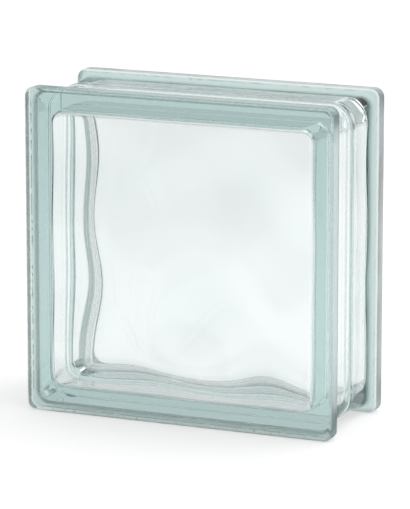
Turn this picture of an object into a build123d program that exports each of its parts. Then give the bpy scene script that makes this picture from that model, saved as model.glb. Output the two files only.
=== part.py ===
from build123d import *
import os
from math import cos, pi, radians, sin

# A hollow glass block: two pressed half shells, fused round their open edges.
# Millimetres. X runs across the face, Y from the front face to the rear face, Z up.
# The origin is under the middle of the block, on the surface that it stands on.

# Overall size
block_width = 190.0
block_height = 190.0
block_depth = 80.0

# Rim round each face
rim_width = 10.0
rim_corner = 5.5
face_arris = 1.8
rim_back_arris = 1.2

# Mortar groove between the two rims, with tight corners at the rims and wide ones at the joint
groove_depth = 4.0
groove_rim_corner = 6.0
groove_joint_corner = 13.0
groove_root = 2.0

# Bead of glass squeezed out of the joint between the halves
seam_width = 6.0
seam_height = 1.1
seam_bevel = 0.8

# The same bead inside the hollow, where nothing flattened it
inner_seam_width = 6.0
inner_seam_height = 2.0
inner_seam_round = 1.4

# Hollow inside, drafted so that the plunger that pressed it could be drawn out
wall_at_seam = 5.5
cavity_corner = 8.5
draft_angle = 4.0
plate_thickness = 7.5
plate_bevel = 4.0

# Waves pressed into the inside of each face plate: height, pitch, direction and phase
main_wave = (0.8, 65.0, 27.0, 240.0)
cross_wave = (0.8, 70.0, 39.0, 348.0)
slow_wave = (0.75, 75.0, 81.0, 76.0)
low_wave = (0.4, 59.0, -58.0, 71.0)
waves = (main_wave, cross_wave, slow_wave, low_wave)
wave_points = 13
wave_tolerance = 0.05


def relief(across, up):
    """Height of the waves at a point of the plate, counted from its mean level."""
    height = 0.0
    for crest, pitch, direction, phase in waves:
        along = across * cos(radians(direction)) + up * sin(radians(direction))
        height += crest * sin(2 * pi * along / pitch + radians(phase))
    return height


# Each half is drawn on the plane of the joint, looking out towards its own face
half_depth = block_depth / 2
shoulder = half_depth - rim_width
centre = (0, 0, block_height / 2)
front_joint = Plane(origin=centre, x_dir=(1, 0, 0), z_dir=(0, -1, 0))
rear_joint = Plane(origin=centre, x_dir=(-1, 0, 0), z_dir=(0, 1, 0))

body_width = block_width - 2 * groove_depth
body_height = block_height - 2 * groove_depth
cavity_width = body_width - 2 * wall_at_seam
cavity_height = body_height - 2 * wall_at_seam
seam_foot = wall_at_seam / 2


def wavy_floor(joint):
    """The wavy inner surface of a face plate, a little larger than the hollow."""
    floor_level = half_depth - plate_thickness
    rows = []
    for row in range(wave_points):
        up = body_height * (row / (wave_points - 1) - 0.5)
        points = []
        for column in range(wave_points):
            across = body_width * (column / (wave_points - 1) - 0.5)
            points.append(joint.from_local_coords((across, up, floor_level + relief(across, up))))
        rows.append(points)
    return Face.make_surface_from_array_of_points(rows, tol=wave_tolerance)


os.makedirs("parts", exist_ok=True)

for name, joint in (("front_half_shell", front_joint), ("rear_half_shell", rear_joint)):
    outward = Axis(joint.origin, joint.z_dir)

    # The plunger that presses the hollow: a drafted block with a wavy end and bevelled edges
    with BuildPart() as plunger:
        with BuildSketch(joint):
            RectangleRounded(cavity_width, cavity_height, cavity_corner)
        extrude(amount=half_depth, taper=draft_angle)
        split(bisect_by=wavy_floor(joint), keep=Keep.TOP)
        wavy_end = plunger.faces().sort_by(outward)[-1]
        chamfer(wavy_end.edges(), plate_bevel)

    # Half of the bead inside the hollow, with its foot sunk into the wall round it
    with BuildPart() as inner_bead:
        with BuildSketch(joint):
            RectangleRounded(
                cavity_width + 2 * seam_foot,
                cavity_height + 2 * seam_foot,
                cavity_corner + seam_foot,
            )
            RectangleRounded(
                cavity_width - 2 * inner_seam_height,
                cavity_height - 2 * inner_seam_height,
                cavity_corner - inner_seam_height,
                mode=Mode.SUBTRACT,
            )
        extrude(amount=inner_seam_width / 2)
        inner_ledge = inner_bead.faces().sort_by(outward)[-1]
        fillet(inner_ledge.inner_wires()[0].edges(), inner_seam_round)

    # What the mould leaves out at the corners of the groove: wide at the bead, narrow at the rim
    with BuildPart() as corners:
        for level, radius in ((seam_width / 2, groove_joint_corner), (shoulder, groove_rim_corner)):
            with BuildSketch(joint.offset(level)):
                with Locations((body_width / 2, body_height / 2)):
                    Rectangle(2 * radius, 2 * radius)
                with Locations((body_width / 2 - radius, body_height / 2 - radius)):
                    Circle(radius, mode=Mode.SUBTRACT)
        loft(ruled=True)
        mirror(about=Plane.YZ)
        mirror(about=Plane(origin=centre, z_dir=(0, 0, 1)))

    # The body between the bead and the rim, whose sides are the floor of the groove
    with BuildPart() as body:
        with BuildSketch(joint.offset(seam_width / 2)):
            Rectangle(body_width, body_height)
        extrude(amount=shoulder - seam_width / 2)
        add(corners.part, mode=Mode.SUBTRACT)

    with BuildPart() as half_shell:
        # Half of the bead outside the joint
        with BuildSketch(joint):
            RectangleRounded(
                body_width + 2 * seam_height,
                body_height + 2 * seam_height,
                groove_joint_corner + seam_height,
            )
        extrude(amount=seam_width / 2)
        add(body.part)

        # The rim, with the face plate inside it
        with BuildSketch(joint.offset(shoulder)):
            RectangleRounded(block_width, block_height, rim_corner)
        extrude(amount=rim_width)

        # No edge of pressed glass is left sharp
        flats = half_shell.faces().filter_by(joint).group_by(outward)
        bead_ledge, rim_ledge, face = flats[1][0], flats[2][0], flats[3][0]
        fillet(face.edges(), face_arris)
        fillet(rim_ledge.outer_wire().edges(), rim_back_arris)
        fillet(rim_ledge.inner_wires()[0].edges(), groove_root)
        chamfer(bead_ledge.outer_wire().edges(), seam_bevel)

        add(plunger.part, mode=Mode.SUBTRACT)
        add(inner_bead.part)

    half_shell.part.label = name
    export_step(half_shell.part, f"parts/{name}.step")
    volume = half_shell.part.volume / 1000
    print(f"{name}: {volume:.0f} cm3, valid {half_shell.part.is_valid}")
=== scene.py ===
# %% [markdown]
# # A hollow glass block
# A glass block is pressed from molten soda-lime glass as two cup-shaped halves. The open edges
# are melted again and pushed together, which leaves one sealed block with a bead round its side.
# The two CAD solids stand for the halves. Here they are replaced by one closed skin, because
# light must not meet a surface inside the glass where the halves have melted into each other.

# %% Load the frame
from math import cos, pi, radians, sin, tan

import bpy
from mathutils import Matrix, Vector


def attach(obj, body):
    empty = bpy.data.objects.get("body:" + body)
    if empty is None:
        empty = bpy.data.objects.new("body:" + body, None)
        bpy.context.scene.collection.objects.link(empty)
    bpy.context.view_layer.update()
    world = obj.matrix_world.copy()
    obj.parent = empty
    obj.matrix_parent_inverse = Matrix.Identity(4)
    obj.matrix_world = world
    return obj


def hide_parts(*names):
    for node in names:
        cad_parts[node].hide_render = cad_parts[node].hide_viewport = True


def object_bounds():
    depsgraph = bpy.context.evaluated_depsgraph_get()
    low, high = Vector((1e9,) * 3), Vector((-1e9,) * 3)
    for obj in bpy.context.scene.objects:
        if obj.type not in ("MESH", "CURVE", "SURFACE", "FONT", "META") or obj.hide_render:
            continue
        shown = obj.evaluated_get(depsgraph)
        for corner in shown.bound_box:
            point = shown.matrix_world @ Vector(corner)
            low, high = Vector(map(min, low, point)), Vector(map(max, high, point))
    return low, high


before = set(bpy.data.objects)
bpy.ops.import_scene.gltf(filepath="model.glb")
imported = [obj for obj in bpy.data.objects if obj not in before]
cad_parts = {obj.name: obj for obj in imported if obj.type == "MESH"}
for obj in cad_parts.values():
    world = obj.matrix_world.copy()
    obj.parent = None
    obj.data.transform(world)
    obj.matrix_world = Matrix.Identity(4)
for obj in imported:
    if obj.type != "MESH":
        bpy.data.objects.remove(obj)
cad_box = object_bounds()
print("CAD box in metres:", cad_box)

# %% [markdown]
# ## Sizes
# The lengths of the block are in millimetres, as a maker would write them, and are multiplied by
# MM where a mesh or a node takes metres. The overall size comes from the frame, so the skin can't
# leave its box. Clear glass shows the thickness of its walls as bands of green, so the walls of
# the hollow and the root of the groove are set here until those bands are as wide as in the
# photograph.

# %% Sizes of the block
MM = 0.001
low, high = (Vector(corner) / MM for corner in cad_box)
half_width = (high.x - low.x) / 2
half_height = (high.z - low.z) / 2
half_depth = (high.y - low.y) / 2
centre_height = (high.z + low.z) / 2

rim_width = 10.0
rim_corner = 5.5
face_arris = 1.8
rim_back_arris = 1.2
groove_depth = 4.0
groove_corner = 6.0
joint_corner = 13.0
groove_root = 2.8
root_reach = 4.0
seam_width = 6.0
seam_height = 1.1
wall_at_joint = 8.5
cavity_corner = 8.5
draft = radians(2.0)
plate_thickness = 8.5
plate_fillet = 3.0
inner_seam_width = 6.0
inner_seam_height = 1.6
print(f"block {2 * half_width:.0f} x {2 * half_height:.0f} x {2 * half_depth:.0f} mm")

# %% [markdown]
# ## The outline
# Every section of the block, cut parallel to its face, is a square with round corners. Only the
# size and the corner radius change from one section to the next. So the skin is made of loops
# that all have the same number of points, and each loop is joined to the next by a strip.
# A loop starts half way round the lower left corner, so that it splits into four equal sides.

# %% One loop of the skin
STRAIGHT_STEPS = 76
CORNER_STEPS = 12
SIDE_STEPS = STRAIGHT_STEPS + CORNER_STEPS


def loop_points(inset, corner, depth):
    """Points of a rounded square, inset from the edge of the block, at a depth along Y."""
    flat_x = half_width - inset - corner
    flat_z = half_height - inset - corner
    centres = ((-flat_x, -flat_z), (flat_x, -flat_z), (flat_x, flat_z), (-flat_x, flat_z))
    half_turn = CORNER_STEPS // 2
    points = []
    for side in range(4):
        start, end = centres[side], centres[(side + 1) % 4]
        # A side faces down, right, up and left in turn, with half a corner before and after it
        facing = 270 + 90 * side
        for step in range(SIDE_STEPS):
            before = min(step - half_turn, 0) / half_turn
            after = max(step - half_turn - STRAIGHT_STEPS, 0) / half_turn
            turn = radians(facing + 45 * (before + after))
            share = min(max((step - half_turn) / STRAIGHT_STEPS, 0), 1)
            x = start[0] + (end[0] - start[0]) * share + corner * cos(turn)
            z = start[1] + (end[1] - start[1]) * share + corner * sin(turn)
            points.append((x, depth, z + centre_height))
    return points


print("points in a loop:", len(loop_points(0, rim_corner, 0)))

# %% [markdown]
# ## The outer section
# The outer section runs from the front face round the arris, over the rim, down into the mortar
# groove, over the bead at the joint, and the same way back to the rear face. A face is kept
# flat by a guard loop just inside its edge: without it, smooth shading would bend the whole face.
# The bead is where glass was squeezed out of the joint, to the inside as well as to the outside,
# and it has steep flanks, so each half of it is a quarter of an ellipse. The root of the groove
# is a quarter of an ellipse too, which runs further along the floor than up the rim.

# %% Outer section, from the front face to the joint
GUARD = 0.35
ARC_STEPS = 6
FLOOR_STEPS = 20
DULL_REACH = 4.0
PITS_FROM = face_arris / 3


def arc(radius_in, radius_down):
    """Steps round a quarter turn, as (distance in, distance down), both from nought."""
    turns = [pi / 2 * step / ARC_STEPS for step in range(ARC_STEPS + 1)]
    return [(radius_in * (1 - cos(turn)), radius_down * sin(turn)) for turn in turns]


def outer_half():
    """(inset, corner radius, depth from the face, stippled, matt with painted shade) of each loop.
    """
    loops = [(face_arris + GUARD, rim_corner - face_arris - GUARD, 0.0, 0.0, 0.0)]
    for sideways, down in reversed(arc(face_arris, face_arris)):
        depth = face_arris - down
        loops.append((sideways, rim_corner - sideways, depth, float(depth > PITS_FROM), 0.0))
    rim_end = rim_width - rim_back_arris
    loops.append((0.0, rim_corner, face_arris + GUARD, 1.0, 0.0))
    loops.append((0.0, rim_corner, rim_end - GUARD, 1.0, 0.0))
    # The last value sets the matt roughness and also painted shade, on the back of the rim and the
    # root of the groove
    for sideways, down in arc(rim_back_arris, rim_back_arris):
        matt_and_shade = sideways / rim_back_arris
        loops.append((sideways, rim_corner - sideways, rim_end + down, 1.0 - matt_and_shade, matt_and_shade))
    for down, sideways in arc(root_reach, groove_root):
        inset = groove_depth - groove_root + sideways
        loops.append((inset, groove_corner + groove_depth - inset, rim_width + down, 0.0, 1.0))
    root = rim_width + root_reach
    foot = half_depth - seam_width / 2
    for step in range(1, FLOOR_STEPS + 1):
        share = step / FLOOR_STEPS
        corner = groove_corner + (joint_corner - groove_corner) * share
        down = (foot - root) * share
        matt_and_shade = max(0.0, 1.0 - down / DULL_REACH)
        loops.append((groove_depth, corner, root + down, 0.0, matt_and_shade))
    for along, rise in arc(seam_width / 2, seam_height)[1:-1]:
        loops.append((groove_depth - rise, joint_corner + rise, foot + along, 0.0, 0.0))
    return loops


outer_sections = outer_half()
print("loops from the face to the joint:", len(outer_sections))

# %% [markdown]
# ## The inner section
# The plunger leaves a hollow with drafted walls and a fillet round the plate, so that it can be
# drawn out again. The inner section runs from the bead along the wall and round the fillet. The
# waves of the plate die away along the wall, so each loop says how far they reach it.

# %% Inner section, from the joint to the face plate
WALL_STEPS = 20
FILLET_STEPS = 7


def inner_half():
    """(inset, corner radius, depth from the joint, reach of the waves) of each loop."""
    joint_inset = groove_depth + wall_at_joint
    arc_depth = half_depth - plate_thickness - plate_fillet
    arc_inset = joint_inset + arc_depth * tan(draft) + plate_fillet / cos(draft)
    wall_end = arc_depth + plate_fillet * sin(draft)
    foot = inner_seam_width / 2
    loops = []
    for along, rise in reversed(arc(foot, inner_seam_height)[1:]):
        loops.append((joint_inset + rise, foot - along, 0.0))
    for step in range(WALL_STEPS):
        depth = foot + (wall_end - foot) * step / WALL_STEPS
        loops.append((joint_inset + depth * tan(draft), depth, (depth / wall_end) ** 2))
    for step in range(FILLET_STEPS + 1):
        turn = draft + (pi / 2 - draft) * step / FILLET_STEPS
        inset = arc_inset - plate_fillet * cos(turn)
        loops.append((inset, arc_depth + plate_fillet * sin(turn), 1.0))
    widest = cavity_corner + joint_inset
    return [(inset, widest - inset, depth, reach) for inset, depth, reach in loops]


inner_sections = inner_half()
print("loops from the joint to the plate:", len(inner_sections))

# %% [markdown]
# ## The skin
# The outer skin closes over both faces, and the inner skin closes over the hollow. The inner
# side of each face plate needs a fine grid, because waves are pressed into it. A grid that
# follows its four border lines, a Coons patch, has even squares right into the round corners.

# %% Join loops to a skin
def face_grid(border):
    """Rows of points that fill a loop: a Coons patch between its four sides."""
    n = SIDE_STEPS
    edge = [Vector(point) for point in border]
    bottom = [edge[i] for i in range(n + 1)]
    right = [edge[n + i] for i in range(n + 1)]
    top = [edge[3 * n - i] for i in range(n + 1)]
    left = [edge[(4 * n - i) % (4 * n)] for i in range(n + 1)]
    rows = []
    for j in range(n + 1):
        v = j / n
        row = []
        for i in range(n + 1):
            u = i / n
            sides = bottom[i] * (1 - v) + top[i] * v + left[j] * (1 - u) + right[j] * u
            lower = bottom[0] * (1 - u) + bottom[n] * u
            upper = top[0] * (1 - u) + top[n] * u
            row.append(sides - (lower * (1 - v) + upper * v))
        rows.append(row)
    return rows


class Skin:
    """Points, faces and the values that the waves, the streaks and the finish read at a point."""

    def __init__(self):
        self.points, self.faces = [], []
        # The last value marks the matt skin, which carries painted shade as well as roughness
        self.values = {"wave_reach": [], "streak_reach": [], "rim_stipple": [], "rim_matt_and_shade": []}

    def add_loop(self, points, waves=0.0, streaks=0.0, stipple=0.0, matt_and_shade=0.0):
        """Adds points that share their values, and gives their numbers."""
        start = len(self.points)
        self.points += [Vector(point) for point in points]
        for name, value in zip(self.values, (waves, streaks, stipple, matt_and_shade)):
            self.values[name] += [value] * len(points)
        return list(range(start, start + len(points)))

    def add_strip(self, first, second):
        """Joins two loops by a ring of four-sided faces."""
        for a in range(len(first)):
            b = (a + 1) % len(first)
            self.faces.append((first[a], second[a], second[b], first[b]))

    def add_grid(self, ring, waves, turned):
        """Closes a loop with a grid of squares, turned over where the loop runs the other way."""
        n = SIDE_STEPS
        rows = face_grid([self.points[i] for i in ring])
        index = {}
        for i in range(n + 1):
            index[i, 0], index[n, i] = ring[i], ring[n + i]
            index[i, n], index[0, i] = ring[3 * n - i], ring[(4 * n - i) % (4 * n)]
        for j in range(1, n):
            for i in range(1, n):
                index[i, j] = self.add_loop([rows[j][i]], waves)[0]
        for j in range(n):
            for i in range(n):
                square = (index[i, j], index[i + 1, j], index[i + 1, j + 1], index[i, j + 1])
                self.faces.append(square[::-1] if turned else square)


skin = Skin()
print("values at a point:", ", ".join(skin.values))

# %% Outer skin
outer = [(inset, corner, depth - half_depth, finish)
         for inset, corner, depth, *finish in outer_sections]
outer.append((groove_depth - seam_height, joint_corner + seam_height, 0.0, (0.0, 0.0)))
outer += [(inset, corner, -depth, finish) for inset, corner, depth, finish in reversed(outer[:-1])]
floor_half = half_depth - rim_width - root_reach
outer_loops = []
for inset, corner, depth, finish in outer:
    streaks = 1.0 if abs(depth) < floor_half + GUARD else 0.0
    outer_loops.append(skin.add_loop(loop_points(inset, corner, depth), 0.0, streaks, *finish))
for first, second in zip(outer_loops, outer_loops[1:]):
    skin.add_strip(first, second)
skin.faces.append(tuple(outer_loops[0]))
skin.faces.append(tuple(reversed(outer_loops[-1])))
print("outer skin:", len(skin.points), "points,", len(skin.faces), "faces")

# %% Inner skin
inner = [(inset, corner, -depth, waves)
         for inset, corner, depth, waves in reversed(inner_sections)]
inner += inner_sections[1:]
wall_half = half_depth - plate_thickness - plate_fillet
inner_loops = []
for inset, corner, depth, waves in inner:
    streaks = 1.0 if abs(depth) < wall_half else 0.0
    inner_loops.append(skin.add_loop(loop_points(inset, corner, depth), waves, streaks))
for first, second in zip(inner_loops, inner_loops[1:]):
    skin.add_strip(second, first)
skin.add_grid(inner_loops[0], 1.0, turned=True)
skin.add_grid(inner_loops[-1], 1.0, turned=False)
print("both skins:", len(skin.points), "points,", len(skin.faces), "faces")

# %% Make the mesh
mesh = bpy.data.meshes.new("glass_block")
mesh.from_pydata([point * MM for point in skin.points], [], skin.faces)
mesh.update()
for name, values in skin.values.items():
    attribute = mesh.attributes.new(name, "FLOAT", "POINT")
    attribute.data.foreach_set("value", values)
block = bpy.data.objects.new("glass_block", mesh)
bpy.context.scene.collection.objects.link(block)
print("mesh:", len(mesh.vertices), "points, before the waves are pressed")

# %% [markdown]
# ## Materials
# One function turns sRGB hex colours to the linear values that a shader works with, and one
# function adds a node with its settings and links.

# %% Helpers for materials
WHITE = "#ffffff"


def linear(hex_colour):
    """An sRGB hex colour as linear red, green, blue and alpha."""
    channels = [int(hex_colour[i:i + 2], 16) / 255 for i in (1, 3, 5)]
    return [c / 12.92 if c <= 0.04045 else ((c + 0.055) / 1.055) ** 2.4 for c in channels] + [1.0]


def add_node(tree, kind, inputs=None, **settings):
    """Adds a node; inputs maps a socket to a value, or to the node or (node, output) behind it."""
    node = tree.nodes.new(kind)
    for key, value in settings.items():
        setattr(node, key, value)
    for key, value in (inputs or {}).items():
        source, output = value if isinstance(value, tuple) else (value, 0)
        if isinstance(source, bpy.types.Node):
            tree.links.new(source.outputs[output], node.inputs[key])
        else:
            node.inputs[key].default_value = value
    return node


def new_material(name):
    """An empty node material and its tree."""
    material = bpy.data.materials.new(name)
    material.use_nodes = True
    material.node_tree.nodes.clear()
    return material, material.node_tree


print("white in linear light:", linear(WHITE))

# %% [markdown]
# ## The finish
# Both sides of the plates and the walls are fire-polished: the surface of molten glass, as
# smooth as water. The edge of the rim touched the mould's cold parting face and came out finely
# pitted, and the back of the rim and the root of the groove came out dull, which fades out
# along the floor of the groove. The real pits are finer than the picture can show, so they are
# drawn a millimetre apart. Iron in the sand tints the glass green, which shows only where light
# runs a long way through it, so the tint is in the volume. The surface is clear, apart from the
# dull skin, whose green-grey colour is painted shade: it darkens the back of the rim and the
# root of the groove.

# %% Pressed soda-lime glass
GLASS_IOR = 1.52
GLASS_TINT = "#94c4c1"
TINT_DENSITY = 13.0
DULL_ROUGHNESS = 0.6
# Painted shade: a green-grey colour that darkens the matt skin at the back of the rim and the root
# of the groove
DULL_PAINTED_SHADE = "#b4d0cb"
PIT_SPACING = 1.0 * MM
PIT_DEPTH = 0.5 * MM
PIT_DETAIL, PIT_UNEVENNESS = 1.0, 0.6
PITTED_ROUGHNESS = 0.45


def pressed_glass():
    """Soda-lime glass, pressed in an iron mould: clear and green in depth, matt at the rims, with
    painted shade on the matt skin.
    """
    material, tree = new_material("pressed_soda_lime_glass")
    stipple = add_node(tree, "ShaderNodeAttribute", attribute_name="rim_stipple")
    matt_and_shade = add_node(tree, "ShaderNodeAttribute", attribute_name="rim_matt_and_shade")
    place = add_node(tree, "ShaderNodeTexCoord")
    pits = add_node(tree, "ShaderNodeTexNoise", {
        "Vector": (place, "Object"), "Scale": 1 / PIT_SPACING,
        "Detail": PIT_DETAIL, "Roughness": PIT_UNEVENNESS})
    height = add_node(tree, "ShaderNodeMath", {
        0: pits, 1: (stipple, "Fac")}, operation="MULTIPLY")
    bump = add_node(tree, "ShaderNodeBump", {
        "Strength": 1.0, "Distance": PIT_DEPTH, "Height": height})
    pitted = add_node(tree, "ShaderNodeMath", {
        0: (stipple, "Fac"), 1: PITTED_ROUGHNESS}, operation="MULTIPLY")
    roughness = add_node(tree, "ShaderNodeMath", {
        0: (matt_and_shade, "Fac"), 1: DULL_ROUGHNESS, 2: pitted}, operation="MULTIPLY_ADD")
    # The matt skin gets roughness, and also a colour that is painted shade on the back of the rim
    # and the root of the groove
    # The two colours of a Mix node are its sockets 6 and 7, and its mixed colour is output 2
    surface = add_node(tree, "ShaderNodeMix", {
        "Factor": (matt_and_shade, "Fac"), 6: linear(WHITE), 7: linear(DULL_PAINTED_SHADE)}, data_type="RGBA")
    shader = add_node(tree, "ShaderNodeBsdfPrincipled", {
        "Base Color": (surface, 2), "Roughness": roughness, "Normal": bump,
        "IOR": GLASS_IOR, "Transmission Weight": 1.0})
    depth_tint = add_node(tree, "ShaderNodeVolumeAbsorption", {
        "Color": linear(GLASS_TINT), "Density": TINT_DENSITY})
    add_node(tree, "ShaderNodeOutputMaterial", {"Surface": shader, "Volume": depth_tint})
    return material


glass = pressed_glass()
print("material:", glass.name, "with", len(glass.node_tree.nodes), "nodes")

# %% [markdown]
# ## Waves and streaks
# The plunger presses long waves into the inside of each face plate, so that nobody can see
# clearly through the block. A sum of a few sine waves that run in different directions gives
# such a soft, uneven pattern. The walls have streaks as well: the skin of the glass cools while
# it is drawn along the mould, and sets in fine lengthwise ripples. Both follow a rule, so
# Geometry Nodes make them: a point moves along Y for a wave, and along its normal for a streak.

# %% Sizes of the waves and the streaks
# Height and pitch in millimetres, direction and phase in degrees
WAVES = (
    ("Main wave", 0.8, 65.0, 27.0, 240.0),
    ("Cross wave", 0.8, 70.0, 39.0, 348.0),
    ("Slow wave", 0.75, 75.0, 81.0, 76.0),
    ("Low wave", 0.4, 59.0, -58.0, 71.0),
)
STREAK_HEIGHT = 0.04
STREAK_WIDTH = 4.0
STREAK_LENGTH = 90.0
STREAK_DETAIL = 2.0
SEED = 7.0
print("the waves reach at most", round(sum(wave[1] for wave in WAVES), 2), "mm either way")

# %% Build the wave tree
def wave_tree():
    """Moves the points of the plates along Y by the waves, and of the walls by the streaks."""
    tree = bpy.data.node_groups.new("pressed waves", "GeometryNodeTree")
    tree.interface.new_socket("Geometry", in_out="OUTPUT", socket_type="NodeSocketGeometry")
    tree.interface.new_socket("Geometry", in_out="INPUT", socket_type="NodeSocketGeometry")
    sizes = [f"{wave} {size}" for wave, *_ in WAVES
             for size in ("height", "pitch", "direction", "phase")]
    sizes += ["Streak height", "Streak width", "Streak length", "Seed", "Centre height"]
    for size in sizes:
        tree.interface.new_socket(size, in_out="INPUT", socket_type="NodeSocketFloat")
    tree.interface.new_socket("Glass", in_out="INPUT", socket_type="NodeSocketMaterial")
    inputs = add_node(tree, "NodeGroupInput")

    # Each plate has the same waves as someone in front of it, outside the block, sees it
    position = add_node(tree, "GeometryNodeInputPosition")
    xyz = add_node(tree, "ShaderNodeSeparateXYZ", {0: position})
    side = add_node(tree, "ShaderNodeMath", {0: (xyz, "Y")}, operation="SIGN")
    mirrored = add_node(tree, "ShaderNodeMath", {0: (xyz, "X"), 1: side}, operation="MULTIPLY")
    across = add_node(tree, "ShaderNodeMath", {0: mirrored, 1: -1.0}, operation="MULTIPLY")
    up = add_node(tree, "ShaderNodeMath", {
        0: (xyz, "Z"), 1: (inputs, "Centre height")}, operation="SUBTRACT")
    total = 0.0
    for wave, *_ in WAVES:
        direction = (inputs, f"{wave} direction")
        cosine = add_node(tree, "ShaderNodeMath", {0: direction}, operation="COSINE")
        sine = add_node(tree, "ShaderNodeMath", {0: direction}, operation="SINE")
        part = add_node(tree, "ShaderNodeMath", {0: across, 1: cosine}, operation="MULTIPLY")
        run = add_node(tree, "ShaderNodeMath", {0: up, 1: sine, 2: part}, operation="MULTIPLY_ADD")
        cycles = add_node(tree, "ShaderNodeMath", {
            0: run, 1: (inputs, f"{wave} pitch")}, operation="DIVIDE")
        angle = add_node(tree, "ShaderNodeMath", {
            0: cycles, 1: 2 * pi, 2: (inputs, f"{wave} phase")}, operation="MULTIPLY_ADD")
        level = add_node(tree, "ShaderNodeMath", {0: angle}, operation="SINE")
        total = add_node(tree, "ShaderNodeMath", {
            0: level, 1: (inputs, f"{wave} height"), 2: total}, operation="MULTIPLY_ADD")
    wave_reach = add_node(tree, "GeometryNodeInputNamedAttribute", {
        "Name": "wave_reach"}, data_type="FLOAT")
    wave = add_node(tree, "ShaderNodeMath", {0: total, 1: wave_reach}, operation="MULTIPLY")
    shift = add_node(tree, "ShaderNodeMath", {0: wave, 1: side}, operation="MULTIPLY")
    offset = add_node(tree, "ShaderNodeCombineXYZ", {"Y": shift})
    waved = add_node(tree, "GeometryNodeSetPosition", {
        "Geometry": (inputs, "Geometry"), "Offset": offset})

    # A streak is noise that is stretched along the walls and squeezed through the block
    scaled = [add_node(tree, "ShaderNodeMath", {
        0: (xyz, axis), 1: (inputs, size)}, operation="DIVIDE")
        for axis, size in (("X", "Streak length"), ("Y", "Streak width"), ("Z", "Streak length"))]
    stretched = add_node(tree, "ShaderNodeCombineXYZ", dict(enumerate(scaled)))
    noise = add_node(tree, "ShaderNodeTexNoise", {
        "Vector": stretched, "W": (inputs, "Seed"),
        "Scale": 1.0, "Detail": STREAK_DETAIL}, noise_dimensions="4D")
    even = add_node(tree, "ShaderNodeMath", {0: noise, 1: 0.5}, operation="SUBTRACT")
    streak = add_node(tree, "ShaderNodeMath", {
        0: even, 1: (inputs, "Streak height")}, operation="MULTIPLY")
    streak_reach = add_node(tree, "GeometryNodeInputNamedAttribute", {
        "Name": "streak_reach"}, data_type="FLOAT")
    amount = add_node(tree, "ShaderNodeMath", {0: streak, 1: streak_reach}, operation="MULTIPLY")
    normal = add_node(tree, "GeometryNodeInputNormal")
    ripple = add_node(tree, "ShaderNodeVectorMath", {
        0: normal, "Scale": amount}, operation="SCALE")
    drawn = add_node(tree, "GeometryNodeSetPosition", {"Geometry": waved, "Offset": ripple})

    smooth = add_node(tree, "GeometryNodeSetShadeSmooth", {"Geometry": drawn})
    real = add_node(tree, "GeometryNodeRealizeInstances", {"Geometry": smooth})
    coated = add_node(tree, "GeometryNodeSetMaterial", {
        "Geometry": real, "Material": (inputs, "Glass")})
    add_node(tree, "NodeGroupOutput", {"Geometry": coated})
    return tree


pressed_waves = wave_tree()
print("wave tree:", len(pressed_waves.nodes), "nodes")

# %% Press the waves
def set_input(modifier, name, value):
    """Sets a modifier's input by the identifier of the socket that has this name."""
    sockets = modifier.node_group.interface.items_tree
    socket = next(s for s in sockets if s.name == name and s.in_out == "INPUT")
    modifier[socket.identifier] = value


modifier = block.modifiers.new("pressed waves", "NODES")
modifier.node_group = pressed_waves
for wave, crest, pitch, direction, phase in WAVES:
    set_input(modifier, f"{wave} height", crest * MM)
    set_input(modifier, f"{wave} pitch", pitch * MM)
    set_input(modifier, f"{wave} direction", radians(direction))
    set_input(modifier, f"{wave} phase", radians(phase))
set_input(modifier, "Streak height", STREAK_HEIGHT * MM)
set_input(modifier, "Streak width", STREAK_WIDTH * MM)
set_input(modifier, "Streak length", STREAK_LENGTH * MM)
set_input(modifier, "Seed", SEED)
set_input(modifier, "Centre height", centre_height * MM)
set_input(modifier, "Glass", glass)
evaluated = block.evaluated_get(bpy.context.evaluated_depsgraph_get())
finished = bpy.data.meshes.new_from_object(evaluated)
block.modifiers.remove(modifier)
block.data = finished
finished.name = "glass_block"
triangles = sum(len(face.vertices) - 2 for face in finished.polygons)
print("glass block:", len(finished.vertices), "points,", triangles, "triangles")

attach(block, "root")
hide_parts("front_half_shell", "rear_half_shell")

# %% [markdown]
# ## The table and the light
# Glass has no colour of its own to show: it shows what is round it, bent and mirrored. Here it
# stands on a white table, in a white studio that is dark on one side only, to the front and the
# left. The table fades out towards that side. The white makes the face plates clear, and the
# dark draws the thin dark lines at the edges. The mirror image of the fading table makes a
# plate lightest at its foot. Seen straight by the camera, all round the block is white.

# %% White table
TABLE_FRONT, TABLE_BACK, TABLE_SIDE = -1.2, 3.0, 2.0
DARK_SIDE = Vector((-1.0, -1.0, 0.0)).normalized()
FADE_FROM, FADE_TO = 0.08, 0.85
TABLE_WHITE = "#cbcbcb"
TABLE_GLOW = 0.5


def seen_through_glass(tree):
    """1 for a ray from the camera, or one that came off or through glass, and else 0."""
    path = add_node(tree, "ShaderNodeLightPath")
    seen = add_node(tree, "ShaderNodeMath", {
        0: (path, "Is Camera Ray"), 1: (path, "Is Glossy Ray")}, operation="MAXIMUM")
    return add_node(tree, "ShaderNodeMath", {
        0: seen, 1: (path, "Is Transmission Ray")}, operation="MAXIMUM")


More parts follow.
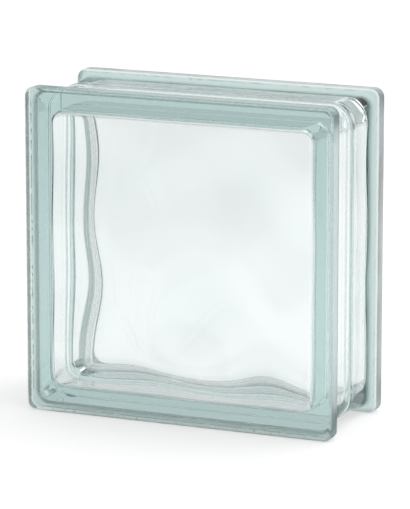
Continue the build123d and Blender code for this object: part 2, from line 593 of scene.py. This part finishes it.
def white_table():
    """White card that glows a little for the camera and the glass, and fades to the dark side."""
    material, tree = new_material("white_card_table")
    strength = add_node(tree, "ShaderNodeMath", {
        0: seen_through_glass(tree), 1: TABLE_GLOW}, operation="MULTIPLY")
    glow = add_node(tree, "ShaderNodeEmission", {"Color": linear(WHITE), "Strength": strength})
    card = add_node(tree, "ShaderNodeBsdfDiffuse", {"Color": linear(TABLE_WHITE)})
    both = add_node(tree, "ShaderNodeAddShader", {0: glow, 1: card})
    place = add_node(tree, "ShaderNodeTexCoord")
    towards = add_node(tree, "ShaderNodeVectorMath", {
        0: (place, "Object"), 1: DARK_SIDE}, operation="DOT_PRODUCT")
    gone = add_node(tree, "ShaderNodeMapRange", {
        "Value": (towards, "Value"), "From Min": FADE_FROM, "From Max": FADE_TO},
        interpolation_type="SMOOTHSTEP")
    clear = add_node(tree, "ShaderNodeBsdfTransparent")
    faded = add_node(tree, "ShaderNodeMixShader", {0: gone, 1: both, 2: clear})
    add_node(tree, "ShaderNodeOutputMaterial", {"Surface": faded})
    return material


table_mesh = bpy.data.meshes.new("table")
table_mesh.from_pydata([
    (-TABLE_SIDE, TABLE_FRONT, 0), (TABLE_SIDE, TABLE_FRONT, 0),
    (TABLE_SIDE, TABLE_BACK, 0), (-TABLE_SIDE, TABLE_BACK, 0)], [], [(0, 1, 2, 3)])
table = bpy.data.objects.new("table", table_mesh)
table_mesh.materials.append(white_table())
bpy.context.scene.collection.objects.link(table)
print(f"table: {2 * TABLE_SIDE:.1f} x {TABLE_BACK - TABLE_FRONT:.1f} m")

# %% Studio walls and lamp
STUDIO_DARK, STUDIO_WHITE = 0.02, 0.9
DARK_FROM, DARK_FULL = 0.45, 0.8
SOFTBOX_PLACE, SOFTBOX_TARGET = (0.5, 0.3, 1.5), (0.0, 0.1, 0.0)
SOFTBOX_SIZE = 1.2
SOFTBOX_POWER = 8.0


def studio_world():
    """White walls, dark to the front left, which the camera itself sees as pure white."""
    world = bpy.data.worlds.new("studio")
    world.use_nodes = True
    tree = world.node_tree
    tree.nodes.clear()
    place = add_node(tree, "ShaderNodeTexCoord")
    towards = add_node(tree, "ShaderNodeVectorMath", {
        0: (place, "Generated"), 1: DARK_SIDE}, operation="DOT_PRODUCT")
    walls = add_node(tree, "ShaderNodeMapRange", {
        "Value": (towards, "Value"), "From Min": DARK_FROM, "From Max": DARK_FULL,
        "To Min": STUDIO_WHITE, "To Max": STUDIO_DARK}, interpolation_type="SMOOTHSTEP")
    path = add_node(tree, "ShaderNodeLightPath")
    level = add_node(tree, "ShaderNodeMath", {
        0: walls, 1: (path, "Is Camera Ray")}, operation="MAXIMUM")
    sky = add_node(tree, "ShaderNodeBackground", {"Color": linear(WHITE), "Strength": level})
    add_node(tree, "ShaderNodeOutputWorld", {"Surface": sky})
    return world


def soft_lamp(name, place, target, size, power):
    """A square lamp, size in metres and power in watts."""
    lamp_data = bpy.data.lights.new(name, "AREA")
    lamp_data.shape = "SQUARE"
    lamp_data.size = size
    lamp_data.energy = power
    lamp = bpy.data.objects.new(name, lamp_data)
    lamp.location = place
    lamp.rotation_euler = (Vector(target) - Vector(place)).to_track_quat("-Z", "Y").to_euler()
    bpy.context.scene.collection.objects.link(lamp)
    return lamp


bpy.context.scene.world = studio_world()
softbox = soft_lamp("softbox", SOFTBOX_PLACE, SOFTBOX_TARGET, SOFTBOX_SIZE, SOFTBOX_POWER)
print("lamp:", softbox.name, softbox.data.energy, "W")

# %% [markdown]
# ## The camera
# The camera was fitted to the corners of the block: a long lens, two metres away, a little to
# the right of the face and a little above it. The long lens keeps the upright edges upright.
# Light crosses many surfaces on its way through the block, so the render needs deep bounces.

# %% Camera
AZIMUTH, ELEVATION, DISTANCE = radians(23.62), radians(12.20), 2.0636
TARGET = Vector((0.00038, 0.0, 0.09227))
LENS, SENSOR_WIDTH = 253.5, 36.0
FURTHEST_SEEN = 50.0
camera_data = bpy.data.cameras.new("camera")
camera_data.lens = LENS
camera_data.sensor_width = SENSOR_WIDTH
camera_data.clip_end = FURTHEST_SEEN
camera = bpy.data.objects.new("camera", camera_data)
outward = Vector((sin(AZIMUTH) * cos(ELEVATION), -cos(AZIMUTH) * cos(ELEVATION), sin(ELEVATION)))
camera.location = TARGET + outward * DISTANCE
camera.rotation_euler = (-outward).to_track_quat("-Z", "Y").to_euler()
bpy.context.scene.collection.objects.link(camera)
bpy.context.scene.camera = camera
print("camera at", [round(value, 3) for value in camera.location])

# %% Render settings
GLASS_BOUNCES = 32
OTHER_BOUNCES = 16
scene = bpy.context.scene
scene.view_settings.view_transform = "Standard"
scene.cycles.max_bounces = GLASS_BOUNCES
scene.cycles.transmission_bounces = GLASS_BOUNCES
scene.cycles.glossy_bounces = OTHER_BOUNCES
scene.cycles.transparent_max_bounces = OTHER_BOUNCES
print("view transform:", scene.view_settings.view_transform)
